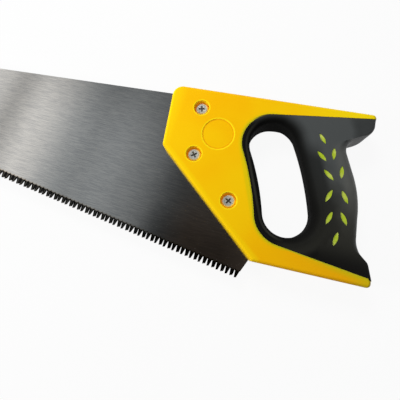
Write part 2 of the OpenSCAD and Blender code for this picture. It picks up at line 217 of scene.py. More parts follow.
# The handle has its own frame: zero at its front top corner, x along the top edge, y upwards
handleSpot, handleTurn = (105.934 * mm, 46.483 * mm, 12 * mm), math.radians(10.9)
handleFrame = Matrix.Translation(handleSpot) @ Matrix.Rotation(handleTurn, 4, "Z")
toHandle = Matrix.Scale(1 / mm, 4) @ handleFrame.inverted()

# Shapes are drawn in millimetres of the handle's frame
pickGap = 0.01  # how near a vertex has to lie to be picked
cutPast = 1.0  # how far a cutter reaches past the surface
drumSides = 72
weldGap, fineGap = 0.004 * mm, 0.002 * mm


def settled(bm, name):
    mesh = bpy.data.meshes.new(name)
    bm.to_mesh(mesh)
    bm.free()
    piece = bpy.data.objects.new(name, mesh)
    scene.collection.objects.link(piece)
    return piece


def toPiece(bm, name):
    bmesh.ops.transform(bm, matrix=handleFrame @ Matrix.Scale(mm, 4), verts=bm.verts)
    bmesh.ops.recalc_face_normals(bm, faces=bm.faces)
    return settled(bm, name)


def movedVerts(result):
    return [v for v in result["geom"] if isinstance(v, bmesh.types.BMVert)]


def raised(bm, low, high):
    bmesh.ops.translate(bm, verts=bm.verts, vec=(0, 0, low))
    top = movedVerts(bmesh.ops.extrude_face_region(bm, geom=bm.faces[:]))
    bmesh.ops.translate(bm, verts=top, vec=(0, 0, high - low))
    bmesh.ops.holes_fill(bm, edges=bm.edges)


def roundOff(bm, geom, width, segments, affect="EDGES", clamp=False):
    bmesh.ops.bevel(bm, geom=geom, affect=affect, offset=width, offset_type="OFFSET", segments=segments,
                    profile=0.5, material=-1, clamp_overlap=clamp)


def prism(name, points, half):
    bm = bmesh.new()
    bm.faces.new([bm.verts.new((x, y, 0)) for x, y in points])
    raised(bm, -half, half)
    return toPiece(bm, name)


def disc(spot, width, sides):
    bm = bmesh.new()
    bmesh.ops.create_circle(bm, cap_ends=True, segments=sides, radius=width / 2)
    bmesh.ops.translate(bm, verts=bm.verts, vec=(*spot, 0))
    return bm


def drum(name, spot, width, low, high):
    bm = disc(spot, width, drumSides)
    raised(bm, low, high)
    return toPiece(bm, name)


def carve(piece, cutters):
    for cutter in cutters:
        step = piece.modifiers.new(cutter.name, "BOOLEAN")
        step.operation = "DIFFERENCE"
        step.solver = "EXACT"
        step.object = cutter
    seen = piece.evaluated_get(bpy.context.evaluated_depsgraph_get())
    whole = bpy.data.meshes.new_from_object(seen)
    piece.modifiers.clear()
    piece.data = whole
    whole.name = piece.name
    for cutter in cutters:
        bpy.data.objects.remove(cutter)
    bm = bmesh.new()
    bm.from_mesh(whole)
    bmesh.ops.remove_doubles(bm, verts=bm.verts, dist=weldGap)
    bmesh.ops.dissolve_degenerate(bm, edges=bm.edges, dist=weldGap)
    bmesh.ops.holes_fill(bm, edges=[e for e in bm.edges if e.is_boundary], sides=8)
    bm.to_mesh(whole)
    bm.free()


def softenEdges(piece, chosen, width, segments):
    bm = bmesh.new()
    bm.from_mesh(piece.data)
    bmesh.ops.remove_doubles(bm, verts=bm.verts, dist=fineGap)
    roundOff(bm, [e for e in bm.edges if chosen(e)], width * mm, segments, clamp=True)
    bm.to_mesh(piece.data)
    bm.free()


def finishShading(piece, sharpAngle):
    piece.data.shade_smooth()
    piece.data.set_sharp_from_angle(angle=math.radians(sharpAngle))
    step = piece.modifiers.new("evenNormals", "WEIGHTED_NORMAL")
    step.keep_sharp = True


# Outline of the opening, and of the seam between the body and the grip
gripShape = {
    "spineTop": (85.6, -35.5), "spineLean": 69.9, "spineLength": 53.0, "spineBow": 1.6,
    "openingRadius": 17.9, "rimWidth": 5.2, "rimGrowth": 1.0,
    "rimShift": ((-2.0, 0.0), (-1.0, -1.8)),  # at the top and at the bottom of the opening
    "upperEnd": (156.6, -3.7), "lowerEnd": (166.0, -121.3), "arcSteps": 24,
}
spineTop, spineLength = Vector(gripShape["spineTop"]), gripShape["spineLength"]
spineLean, spineBow = math.radians(gripShape["spineLean"]), gripShape["spineBow"]
spineDirection = Vector((math.cos(spineLean), -math.sin(spineLean)))
spineSide = Vector((-spineDirection.y, spineDirection.x))
spineBend = (spineLength ** 2 / 4 + spineBow ** 2) / (2 * spineBow)
spineMiddle = spineTop + spineDirection * spineLength / 2 + spineSide * (spineBow - spineBend)
spineHalf = math.asin(spineLength / 2 / spineBend)
spineBottom = spineTop + spineDirection * spineLength
topShift, lowShift = (Vector(shift) for shift in gripShape["rimShift"])
topRadius = gripShape["openingRadius"] + gripShape["rimWidth"]
lowRadius = topRadius + gripShape["rimGrowth"]
upperEnd, lowerEnd = Vector(gripShape["upperEnd"]), Vector(gripShape["lowerEnd"])


def heading(turn, length=1.0):
    return Vector((math.cos(turn), math.sin(turn))) * length


def turnOf(v):
    return math.atan2(v.y, v.x)


def spineOut(turn):
    return spineSide * math.cos(turn) + spineDirection * math.sin(turn)


def openingPoint(point):
    away = point - spineMiddle
    turn = math.atan2(away.dot(spineDirection), away.dot(spineSide))
    spine = spineMiddle + spineBend * spineOut(min(max(turn, -spineHalf), spineHalf))
    return spine + (point - spine).normalized() * gripShape["openingRadius"]


def seamLine(inset=0.0):
    steps = gripShape["arcSteps"]
    top = spineMiddle + spineBend * spineOut(-spineHalf) + topShift
    bottom = spineMiddle + spineBend * spineOut(spineHalf) + lowShift
    rise, fall = upperEnd - top, lowerEnd - bottom
    topStart = turnOf(rise) + math.acos(topRadius / rise.length)
    topSweep = (turnOf(-spineOut(-spineHalf)) - topStart) % math.tau
    lowStart = turnOf(-spineOut(spineHalf))
    lowSweep = (turnOf(fall) - math.acos(lowRadius / fall.length) - lowStart) % math.tau
    line = [top + heading(topStart + topSweep * i / steps, topRadius - inset) for i in range(steps + 1)]
    for i in range(1, steps // 2):
        share = 2 * i / steps
        turn = spineHalf * (2 * share - 1)
        middle = spineMiddle + spineBend * spineOut(turn) + topShift.lerp(lowShift, share)
        line.append(middle - spineOut(turn) * (topRadius + gripShape["rimGrowth"] * share - inset))
    line += [bottom + heading(lowStart + lowSweep * i / steps, lowRadius - inset) for i in range(steps + 1)]
    return line


seam = seamLine()
upperRun, lowerRun = (upperEnd - seam[0]).normalized(), (lowerEnd - seam[-1]).normalized()
upperOut, lowerOut = Vector((-upperRun.y, upperRun.x)), Vector((lowerRun.y, -lowerRun.x))


# Yellow body: a rounded slab with room for the grip, the blade, the screws and a plain round recess
bodyShape = {
    "corners": (((156.6, 0), 3), ((0, 0), 8), ((1.6, -51), 3), ((84, -124.8), 3), ((165.99, -126.3), 3)),
    "cornerSteps": 12, "half": 12.0, "edgeRound": 2.6, "edgeSteps": 7, "roomPast": 2.0, "sharpAngle": 32,
    "screws": {"upper": (25.9, -16.4), "middle": (27.6, -54.4), "lower": (60.2, -84.9)},
    "counterbore": 12.0, "counterboreDepth": 4.6, "mouthRound": 0.45, "mouthSteps": 3, "shankHole": 6.2,
    "recess": (42.7, -35.5), "recessWidth": 24.4, "recessDepth": 0.42,
    "recessRound": 0.35, "recessSteps": 4,
    "slot": ((-20, -2.7), (3.7, -2.3), (3.7, -9.9), (44.2, -9.9), (73.3, -97.8), (82, -117.7), (70, -130),
             (-40, -60)),
    "slotWidth": 1.1,
}


# A round hole of the same depth in both sides
def sunkDrums(name, spot, width, depth):
    half, reach = bodyShape["half"], bodyShape["half"] + cutPast
    return [drum(name, spot, width, half - depth, reach), drum(name, spot, width, -reach, depth - half)]


def softenMouth(body, spot, width, rounding, steps):
    def onMouth(edge):
        ends = [toHandle @ v.co for v in edge.verts]
        flat = all(abs(abs(p.z) - bodyShape["half"]) < pickGap for p in ends)
        away = [(p.resized(2) - Vector(spot)).length - width / 2 for p in ends]
        return flat and all(abs(gap) < 2 * pickGap for gap in away)

    softenEdges(body, onMouth, rounding, steps)


def makeBody():
    shape = bodyShape
    half = shape["half"]
    bm = bmesh.new()
    corners = [bm.verts.new((*spot, 0)) for spot, _ in shape["corners"]]
    bm.faces.new(corners)
    reaches = []
    for i, corner in enumerate(corners):
        before, after = corners[i - 1].co - corner.co, corners[(i + 1) % len(corners)].co - corner.co
        reaches.append(shape["corners"][i][1] / math.tan(before.angle(after) / 2))
    for corner, reach in zip(corners, reaches):
        roundOff(bm, [corner], reach, shape["cornerSteps"], affect="VERTICES")
    raised(bm, -half, half)
    rims = [e for e in bm.edges if abs(e.verts[0].co.z - e.verts[1].co.z) < pickGap]
    roundOff(bm, rims, shape["edgeRound"], shape["edgeSteps"])
    bmesh.ops.remove_doubles(bm, verts=bm.verts, dist=pickGap)
    body = toPiece(bm, "bodyShell")
    past = shape["roomPast"]
    room = [upperEnd + upperRun * past] + seam + [lowerEnd + lowerRun * past]
    cutters = [prism("gripRoom", room, half + cutPast),
               prism("bladeRoom", shape["slot"], shape["slotWidth"] / 2)]
    for spot in shape["screws"].values():
        cutters.append(drum("shankRoom", spot, shape["shankHole"], -half - cutPast, half + cutPast))
        cutters += sunkDrums("headRoom", spot, shape["counterbore"], shape["counterboreDepth"])
    cutters += sunkDrums("recessRoom", shape["recess"], shape["recessWidth"], shape["recessDepth"])
    carve(body, cutters)
    for spot in shape["screws"].values():
        softenMouth(body, spot, shape["counterbore"], shape["mouthRound"], shape["mouthSteps"])
    softenMouth(body, shape["recess"], shape["recessWidth"], shape["recessRound"], shape["recessSteps"])
    finishShading(body, shape["sharpAngle"])
    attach(body, "root")
    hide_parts("handle_body")
    return body


# Black sleeve: rounded sections between the back of the grip and the opening, lofted round the opening
sleeveShape = {
    "half": 12.0, "cover": 2.5, "hidden": -0.5, "leastRound": 0.2, "seamRound": 0.8, "endRound": 2.6,
    "rimRound": 6.0, "fingerRound": 9.0, "endRun": 12.0,
    "back": (  # corner from the lower end upwards, its radius, and the rounding of the sleeve there
        ((162.8, -110.7), 7, 3), ((154.6, -99.9), 20, 8), ((154.3, -62.4), 85, 10),
        ((137.6, -24.1), 9, 9.5), ((157.8, -14.0), 10, 4)),
    "backSteps": 12, "stationGap": 1.7, "roundSteps": 7, "sharpAngle": 40,
    "lipWidth": 0.9, "lipStop": 3.0, "lipBelow": 0.06, "lipSharpAngle": 32,
}


def cornerArc(before, corner, after, radius):
    steps = sleeveShape["backSteps"]
    toBefore, toAfter = (before - corner).normalized(), (after - corner).normalized()
    half = toBefore.angle(toAfter) / 2
    middle = corner + (toBefore + toAfter).normalized() * radius / math.sin(half)
    start = turnOf(corner + toBefore * radius / math.tan(half) - middle)
    sweep = (math.pi - 2 * half) * (-1 if toBefore.cross(toAfter) > 0 else 1)
    return [middle + heading(start + sweep * i / steps, radius) for i in range(steps + 1)]


def blended(first, second, share):
    return tuple(a + (b - a) * share for a, b in zip(first, second))


# Stations: x, y, outer rounding, cover over the core, rounding into the opening
def gripStations():
    shape = sleeveShape
    finger, run = shape["fingerRound"], shape["endRun"]
    upperStop, lowerStop = upperEnd - upperRun * run, lowerEnd - lowerRun * run
    marks = [(*upperEnd, shape["endRound"], shape["cover"], finger),
             (*upperStop, shape["seamRound"], shape["hidden"], finger)]
    marks += [(*p, shape["seamRound"], shape["hidden"], shape["rimRound"]) for p in seam]
    marks += [(*lowerStop, shape["seamRound"], shape["hidden"], finger),
              (*lowerEnd, shape["endRound"], shape["cover"], finger)]
    ends = [lowerEnd] + [Vector(corner) for corner, _, _ in shape["back"]] + [upperEnd]
    for i, (_, radius, rounding) in enumerate(shape["back"]):
        arc = cornerArc(ends[i], ends[i + 1], ends[i + 2], radius)
        marks += [(*p, rounding, shape["cover"], finger) for p in arc]
    stations = []
    for first, second in zip(marks, marks[1:] + marks[:1]):
        count = max(1, round(math.dist(first[:2], second[:2]) / shape["stationGap"]))
        stations += [blended(first, second, k / count) for k in range(count)]
    return stations


def gripSection(station, outer, inner, half, outerRound, innerRound):
    least, steps = sleeveShape["leastRound"], sleeveShape["roundSteps"]
    start = Vector(station[:2])
    goal = openingPoint(start)
    across = (goal - start).normalized()
    width = (goal - start).length - inner
    innerRound = min(max(innerRound, least), width - outer - outerRound - least)
    points = []
    for u, z, r, turn in ((outer + outerRound, outerRound - half, outerRound, 180),
                          (width - innerRound, innerRound - half, innerRound, 270),
                          (width - innerRound, half - innerRound, innerRound, 0),
                          (outer + outerRound, half - outerRound, outerRound, 90)):
        for i in range(steps + 1):
            corner = Vector((u, z)) + heading(math.radians(turn + 90 * i / steps), r)
            points.append((*(start + across * corner.x), corner.y))
    return points


def lofted(name, sections):
    bm = bmesh.new()
    rings = []
    for points in sections:
        verts = [bm.verts.new(p) for p in points]
        rings.append([bm.edges.new(pair) for pair in zip(verts, verts[1:] + verts[:1])])
    for first, second in zip(rings, rings[1:] + rings[:1]):
        bmesh.ops.bridge_loops(bm, edges=first + second)
    return toPiece(bm, name)


# Leaf windows of the sleeve: x, y, direction and share of the full length
leafShape = {
    "length": 10.8, "width": 3.2, "steps": 14, "tipWeld": 0.001,
    "places": ((119.95, -25.69, 126, 0.85), (121.21, -39.22, 138, 0.92), (129.43, -35.92, 94, 0.88),
               (127.88, -52.5, 138, 1), (136.68, -48.98, 93, 0.92), (130.05, -67.67, 70, 1),
               (140.97, -66.73, 121, 1), (132.21, -83.55, 72, 1), (142.17, -82.26, 120, 1),
               (138.47, -97.43, 79, 1)),
}


def leafCutter(x, y, turn, share):
    shape = leafShape
    length, width = shape["length"] * share, shape["width"] * math.sqrt(share)
    radius = (length ** 2 + width ** 2) / (4 * width)
    sweep = 2 * math.asin(length / 2 / radius)
    bm = bmesh.new()
    for side in (1, -1):
        tip = bm.verts.new((-side * length / 2, 0, 0))
        bmesh.ops.spin(bm, geom=[tip], cent=(0, side * (width / 2 - radius), 0), axis=(0, 0, 1),
                       angle=-sweep, steps=shape["steps"], use_duplicate=False)
    bmesh.ops.remove_doubles(bm, verts=bm.verts, dist=shape["tipWeld"])
    bmesh.ops.contextual_create(bm, geom=bm.edges[:])
    place = Matrix.Translation((x, y, 0)) @ Matrix.Rotation(math.radians(turn), 4, "Z")
    bmesh.ops.transform(bm, matrix=place, verts=bm.verts)
    reach = sleeveShape["half"] + cutPast
    raised(bm, -reach, reach)
    return toPiece(bm, "leafRoom")


# Outline of the lime lip along the seam, which may reach past the seam
def lipOutline(past):
    width, stop = sleeveShape["lipWidth"], sleeveShape["lipStop"]
    first, last = seam[0] + upperRun * stop, lowerEnd - lowerRun * stop
    return ([first + upperOut * past] + seamLine(-past) + [last + lowerOut * past, last - lowerOut * width]
            + seamLine(width)[::-1] + [first - upperOut * width])


def makeSleeve():
    shape = sleeveShape
    half, cover, least = shape["half"], shape["cover"], shape["leastRound"]
    stations = gripStations()
    between = [blended(a, b, 0.5) for a, b in zip(stations, stations[1:] + stations[:1])]
    sleeve = lofted("sleeveSkin", [gripSection(s, 0, 0, half, s[2], s[4]) for s in stations])
    core = lofted("coreRoom", [
        gripSection(s, s[3], cover, half - cover, max(s[2] - cover, least), s[4] - cover) for s in between])
    cutters = [core, prism("lipRoom", lipOutline(cutPast), half + cutPast)]
    cutters += [leafCutter(*place) for place in leafShape["places"]]
    carve(sleeve, cutters)
    finishShading(sleeve, shape["sharpAngle"])
    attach(sleeve, "root")
    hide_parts("grip_sleeve")
    return sleeve


def makeLip():
    shape = sleeveShape
    lip = prism("limeLip", lipOutline(0), shape["half"] - shape["lipBelow"])
    finishShading(lip, shape["lipSharpAngle"])
    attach(lip, "root")
    return lip


# Blade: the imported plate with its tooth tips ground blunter, as hardened tips are
bladeShape = {
    "pitch": 25.4 / 7, "toothLine": 500.0, "tipReach": 2.2, "frontShare": 0.48, "front": -0.3, "rear": 0.45,
}
bladeLow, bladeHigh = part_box("blade")
toothPitch = bladeShape["pitch"] * mm
firstTooth = bladeLow.x + (bladeShape["toothLine"] % bladeShape["pitch"]) * mm


def makeBlade():
    shape = bladeShape
    bm = bmesh.new()
    bm.from_mesh(nodes["blade"].data)
    bmesh.ops.remove_doubles(bm, verts=bm.verts, dist=fineGap)
    tips = [v for v in bm.verts if v.co.y < bladeLow.y + shape["tipReach"] * mm]
    for key, ahead in (("front", True), ("rear", False)):
        moved = [v for v in tips if ((v.co.x - firstTooth) / toothPitch % 1 < shape["frontShare"]) == ahead]
        bmesh.ops.translate(bm, verts=moved, vec=(shape[key] * mm, 0, 0))
    plate = settled(bm, "toothedPlate")
    plate.data.shade_flat()
    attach(plate, "root")
    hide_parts("blade")
    return plate


# Screws: pan head with a tapered cross recess, its seat on the floor of the counterbore
screwShape = {
    "seat": 7.4, "headWidth": 9.6, "headHeight": 2.4, "headSides": 56, "crown": 1.5, "crownSteps": 7,
    "shankWidth": 4.0, "shankLength": 9.0, "sharpAngle": 40,
    "recessLength": (5.2, 3.0), "recessWidth": (1.3, 0.8),  # at the top and at the bottom
    "recessDepth": 1.2, "recessPast": 0.1, "shadeBelow": 0.05,
    "turns": {"upper": 12, "middle": 34, "lower": 58},
}


def crossArm(spot, turn, top):
    shape = screwShape
    bm = bmesh.new()
    bmesh.ops.create_cube(bm, size=1)
    for v in bm.verts:
        end = 0 if v.co.z > 0 else 1
        v.co.x *= shape["recessLength"][end]
        v.co.y *= shape["recessWidth"][end]
        v.co.z = (shape["recessPast"], -shape["recessDepth"])[end]
    place = Matrix.Translation((*spot, top)) @ Matrix.Rotation(math.radians(turn), 4, "Z")
    bmesh.ops.transform(bm, matrix=place, verts=bm.verts)
    return toPiece(bm, "crossRoom")


def makeScrew(side):
    shape = screwShape
    spot, bottom = bodyShape["screws"][side], shape["seat"]
    top = bottom + shape["headHeight"]
    bm = disc(spot, shape["headWidth"], shape["headSides"])
    raised(bm, bottom, top)
    crown = [e for e in bm.edges if all(v.co.z > top - pickGap for v in e.verts)]
    roundOff(bm, crown, shape["crown"], shape["crownSteps"])
    seat = [f for f in bm.faces if all(v.co.z < bottom + pickGap for v in f.verts)]
    bmesh.ops.inset_region(bm, faces=seat, thickness=(shape["headWidth"] - shape["shankWidth"]) / 2)
    shank = movedVerts(bmesh.ops.extrude_face_region(bm, geom=seat))
    bmesh.ops.delete(bm, geom=seat, context="FACES")
    bmesh.ops.translate(bm, verts=shank, vec=(0, 0, -shape["shankLength"]))
    piece = toPiece(bm, "screw" + side.capitalize())
    carve(piece, [crossArm(spot, shape["turns"][side] + extra, top) for extra in (0, 90)])
    recessReach = shape["recessLength"][0] / 2 + shape["recessPast"]
    # The second material paints shade into the cross recess
    for face in piece.data.polygons:  # the faces of the recess take the second material
        middle = toHandle @ face.center
        inside = (middle.resized(2) - Vector(spot)).length < recessReach
        face.material_index = int(inside and bottom < middle.z < top - shape["shadeBelow"])
    finishShading(piece, shape["sharpAngle"])
    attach(piece, "root")
    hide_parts("screw_" + side)
    return piece


plate = makeBlade()
print("blade done:", len(plate.data.polygons), "faces")
body = makeBody()
print("body done:", len(body.data.polygons), "faces")
sleeve = makeSleeve()
lip = makeLip()
print("sleeve and lip done:", len(sleeve.data.polygons), "faces")
screws = [makeScrew(side) for side in screwShape["turns"]]
print("screws done:", len(screws))


# Blade steel, with hardened black teeth carrying painted glints, and a straw tint above them
bladeLook = {
    "steel": linear(222, 219, 213), "shade": linear(190, 189, 187), "lineRange": (0.32, 0.68),
    "grainTurn": -5.75,
    "toothDepth": 5.2 * mm,
    "notch": 0.7 * mm, "notchShare": 0.25,
    "tint": linear(150, 118, 60), "tintRise": (1.3 * mm, 0.3 * mm), "tintShare": 0.5,
    "hardened": linear(20, 19, 19), "hardenedRise": (0.35 * mm, 0.1 * mm),
    # the facet colour is a painted glint on each hardened tooth
    "toothGlint": linear(88, 85, 78), "glintStart": (0.3, 0.5), "glintStop": (0.75, 0.6), "glintShare": 0.7,
    "roughness": (0.09, 0.13), "hairRange": (0.2, 0.8), "bump": (0.05, 0.02 * mm),
}


def bladeSteel():
    look = bladeLook
    material, tree, shader, place = startMaterial("bladeSteel")
    turn = (0, 0, math.radians(look["grainTurn"]))
    along = addNode(tree, "ShaderNodeMapping", Vector=place, Rotation=turn).outputs["Vector"]
    grain = addNode(tree, "ShaderNodeGroup", {"node_tree": brushing}, Vector=along).outputs
    steel = mixed(tree, ranged(tree, grain["Lines"], *look["lineRange"]), look["shade"], look["steel"])
    split = separated(tree, place)
    line = bladeLow.y + look["toothDepth"]
    phase = worked(tree, "DIVIDE", worked(tree, "SUBTRACT", split["X"], firstTooth), toothPitch)
    phase = worked(tree, "FRACT", phase)
    notch = ranged(tree, worked(tree, "PINGPONG", phase, 0.5), look["notchShare"], 0, 0, look["notch"])
    edge = worked(tree, "SUBTRACT", split["Y"], notch)
    tint = ranged(tree, edge, *(line + rise for rise in look["tintRise"]))
    teeth = ranged(tree, edge, *(line + rise for rise in look["hardenedRise"]))
    # Painted glints on the hardened teeth, one in each pitch
    toothGlint = product(tree, ranged(tree, phase, *look["glintStart"]), ranged(tree, phase, *look["glintStop"]))
    glintedTeeth = mixed(tree, product(tree, toothGlint, look["glintShare"]), look["hardened"], look["toothGlint"])
    warmed = mixed(tree, product(tree, tint, look["tintShare"]), steel, look["tint"])
    roughness = ranged(tree, grain["Hairs"], *look["hairRange"], *look["roughness"], smooth=False)
    feed(tree, mixed(tree, teeth, warmed, glintedTeeth), shader.inputs["Base Color"])
    feed(tree, roughness, shader.inputs["Roughness"])
    shader.inputs["Metallic"].default_value = 1.0
    bumped(tree, shader, grain["Hairs"], *look["bump"])
    return material


# Object coordinates in millimetres of the handle's frame
def handlePlace(tree, place):
    return addNode(tree, "ShaderNodeMapping", Vector=place, Location=toHandle.to_translation(),
                   Rotation=toHandle.to_euler(), Scale=(1 / mm,) * 3).outputs["Vector"]


def flatPlace(tree, place):
    return vectored(tree, "MULTIPLY", handlePlace(tree, place), (1, 1, 0))


# Distance from a straight stem, in a plane of the handle's frame, and the share along it
def stemGap(tree, flat, top, bottom):
    top, run = top.to_3d(), (bottom - top).to_3d()
    along = vectored(tree, "DOT_PRODUCT", vectored(tree, "SUBTRACT", flat, top), run / run.length_squared)
    share = ranged(tree, along, 0, 1, smooth=False)
    return vectored(tree, "DISTANCE", flat, vectored(tree, "MULTIPLY_ADD", run, share, top)), share


# Yellow body plastic with lime along the seam and lemon on the upper arm
# Painted light: lemon at the front and diagonal edges; painted shade: amber on the lower arm
bodyLook = {
    "warm": linear(247, 184, 1), "lemon": linear(252, 220, 10), "lowerArmShade": linear(243, 176, 1),
    "patchRange": (0.35, 0.7), "patchShare": 0.4,
    "armX": (60, 150), "armY": (-40, -10), "lowX": (80, 150), "lowY": (-80, -110),
    "frontX": (17, 1), "frontLight": 0.65, "diagonalLight": (7.0, 3.0), "diagonalLightShare": 0.55,
    # rings round the holes: painted highlights at their mouths, painted shade just inside the recess edge
    "edgeHighlight": linear(250, 222, 18), "edgeShare": 0.9, "recessEdge": (0.1, 0.8), "mouthEdge": (0.1, 0.7),
    "edgeShade": linear(214, 142, 0), "edgeShadeShare": 0.6, "edgeShadeRing": (-0.7, -0.3), "ringSoft": 0.35,
    # painted glows on the shaded walls of the wells and the recess
    "wellGlow": linear(104, 62, 8), "wellEdge": (0.5, 0.1), "wallGlow": 0.8, "wallEdge": (-0.4, 0.2),
    "lime": linear(198, 196, 12), "seamReach": 2.6, "seamTint": 0.5,
    "lowerReach": 4.5, "lowerTint": 0.7, "lowerX": (105, 160), "lowerY": (-80, -100),
    "tipX": (146, 166), "tipTint": 0.6,
    "patch": 60 * mm, "grain": 0.9 * mm, "roughness": (0.34, 0.46), "specular": 0.1,
    "bump": (0.06, 0.04 * mm),
}


def seamTint(tree, flat, split):
    look = bodyLook
    away, share = stemGap(tree, flat, spineTop + topShift, spineBottom + lowShift)
    gap = worked(tree, "SUBTRACT", away, ranged(tree, share, 0, 1, topRadius, lowRadius, smooth=False))
    rim = ranged(tree, gap, look["seamReach"], 0, 0, look["seamTint"])
    fall = vectored(tree, "DOT_PRODUCT", flat, lowerOut.to_3d())
    fall = worked(tree, "SUBTRACT", fall, lowerEnd.dot(lowerOut))
    lower = product(tree, ranged(tree, fall, look["lowerReach"], 0, 0, look["lowerTint"]),
                    ranged(tree, split["X"], *look["lowerX"]), ranged(tree, split["Y"], *look["lowerY"]))
    return largest(tree, rim, lower, ranged(tree, split["X"], *look["tipX"], 0, look["tipTint"]))


# A ring about the edge of a round hole
def ring(tree, gap, radius, edge):
    inner, outer = (radius + e for e in edge)
    soft = bodyLook["ringSoft"]
    return product(tree, ranged(tree, gap, inner - soft, inner), ranged(tree, gap, outer + soft, outer))


def bodyPlastic():
    look = bodyLook
    material, tree, shader, place = startMaterial("bodyPlastic")
    skin = placeSkin(tree, place, look)
    flat = flatPlace(tree, place)
    split = separated(tree, flat)
    patches = ranged(tree, skin["Patches"], *look["patchRange"], 0, look["patchShare"])
    arm = product(tree, ranged(tree, split["X"], *look["armX"]), ranged(tree, split["Y"], *look["armY"]))
    # Painted light: lighter lemon towards the lit front edge
    front = ranged(tree, split["X"], *look["frontX"], 0, look["frontLight"])
    # Painted light: a lemon band along the diagonal edge, for light thrown up from the blade
    diagonal, _ = stemGap(tree, flat, *(Vector(spot) for spot, _ in bodyShape["corners"][2:4]))
    diagonalLight = ranged(tree, diagonal, *look["diagonalLight"], 0, look["diagonalLightShare"])
    # Painted shade: darker, more orange amber on the lower arm
    low = product(tree, ranged(tree, split["X"], *look["lowX"]), ranged(tree, split["Y"], *look["lowY"]))
    yellow = mixed(tree, largest(tree, patches, arm, front, diagonalLight), look["warm"], look["lemon"])
    yellow = mixed(tree, low, yellow, look["lowerArmShade"])
    recessGap = vectored(tree, "DISTANCE", flat, (*bodyShape["recess"], 0))
    recess, mouth = bodyShape["recessWidth"] / 2, bodyShape["counterbore"] / 2
    # Painted highlights round the mouths of the recess and the wells
    bright = [ring(tree, recessGap, recess, look["recessEdge"])]
    # Painted glows on the shaded walls of the recess and the wells
    glow = [product(tree, ring(tree, recessGap, recess, look["wallEdge"]), look["wallGlow"])]
    for spot in bodyShape["screws"].values():
        gap = vectored(tree, "DISTANCE", flat, (*spot, 0))
        bright.append(ring(tree, gap, mouth, look["mouthEdge"]))
        glow.append(ranged(tree, gap, *(mouth + e for e in look["wellEdge"])))
    # Painted shade: a darker amber ring just inside the recess edge
    dark = ring(tree, recessGap, recess, look["edgeShadeRing"])
    edges = product(tree, largest(tree, *bright), look["edgeShare"])
    yellow = mixed(tree, edges, yellow, look["edgeHighlight"])
    yellow = mixed(tree, product(tree, dark, look["edgeShadeShare"]), yellow, look["edgeShade"])
    feed(tree, mixed(tree, seamTint(tree, flat, split), yellow, look["lime"]), shader.inputs["Base Color"])
    feed(tree, skinRoughness(tree, skin, look), shader.inputs["Roughness"])
    # The painted glows light the walls of the wells and the recess, though no lamp shines there
    feed(tree, mixed(tree, largest(tree, *glow), black, look["wellGlow"]), shader.inputs["Emission Color"])
    shader.inputs["Emission Strength"].default_value = 1.0
    shader.inputs["Specular IOR Level"].default_value = look["specular"]
    bumped(tree, shader, skin["Grain"], *look["bump"])
    return material


# painted shade at the horn and the lower end, a painted highlight on the front rim, black round the opening
# Black soft sleeve: painted sheen and mottling on its flat faces, lighter to the top and the back of the
# grip,
# Most pairs are distances from the spine of the opening; those that end in X or Y are places
sleeveLook = {
    "black": linear(16, 16, 15), "rim": (18.5, 29.0),
    # The greys of the flat faces are painted sheen with some mottling, darker and warmer lower down
    "deep": linear(14, 14, 13), "dustAndSheenGrey": linear(75, 78, 78), "dustAndSheenLow": linear(68, 68, 61),
    "coolY": (-25 * mm, 35 * mm), "sheenY": (-66 * mm, 62 * mm), "sheenLimit": 1.4,
    "patchRange": (0.3, 0.7), "patchDust": (-0.12, 0.12),
    "back": (28.0, 47.0), "backSheen": (-0.1, 0.35),
    "ends": (51.0, 64.0), "endSheenShare": 0.4, "lowEndY": (-118.0, -100.0),
    "near": (34.0, 29.0), "nearY": (25 * mm, 43 * mm), "nearSheen": 0.27,
    "sheen": linear(106, 106, 101), "waist": (38.0, 48.0), "waistShare": 0.5,
    "waistTop": (0.1, 0.3),  # shares of the spine
    "waistLowY": (-90.0, -72.0),
    # ridge: a painted highlight along the front rim
    "ridgeHighlight": linear(52, 52, 46), "ridge": (20.2, 20.8), "ridgeSoft": 1.2, "frontSideX": (-6.0, -16.0),
    "patch": 16 * mm, "grain": 0.7 * mm, "roughness": (0.4, 0.52), "wall": (27.0, 21.0),
    "specular": 0.11, "bump": (0.08, 0.06 * mm),
}


